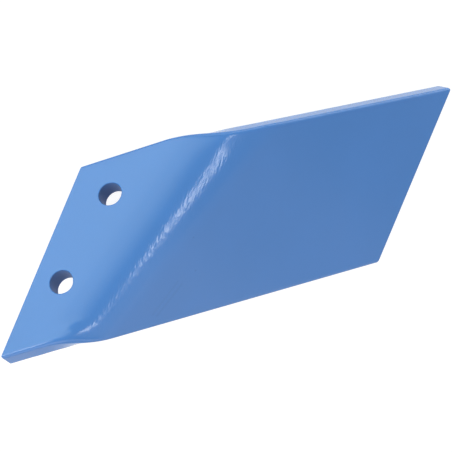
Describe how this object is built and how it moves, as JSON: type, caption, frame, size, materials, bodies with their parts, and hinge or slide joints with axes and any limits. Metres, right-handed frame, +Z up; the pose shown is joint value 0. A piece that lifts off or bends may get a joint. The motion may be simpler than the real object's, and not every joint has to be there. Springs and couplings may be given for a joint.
{
  "type": "cultivator wing share",
  "caption": "Flat steel bar with slanting cut ends, bent once on a slanting line into a drilled flange and a soil-cutting wing, painted blue.",
  "frame": {"origin": "on the ground, under the middle of the share as it lies with its outer side up", "axes": "+Z up; +X level, from the middle of the flange's cut end to the middle of the wing's; +Y across the bar, towards the upper long edge"},
  "size_m": [0.307, 0.1068, 0.054],
  "materials": {
    "painted_steel": "satin gloss blue paint over steel"
  },
  "bodies": {
    "root": {"wing_share": "painted_steel"}
  },
  "joints": []
}
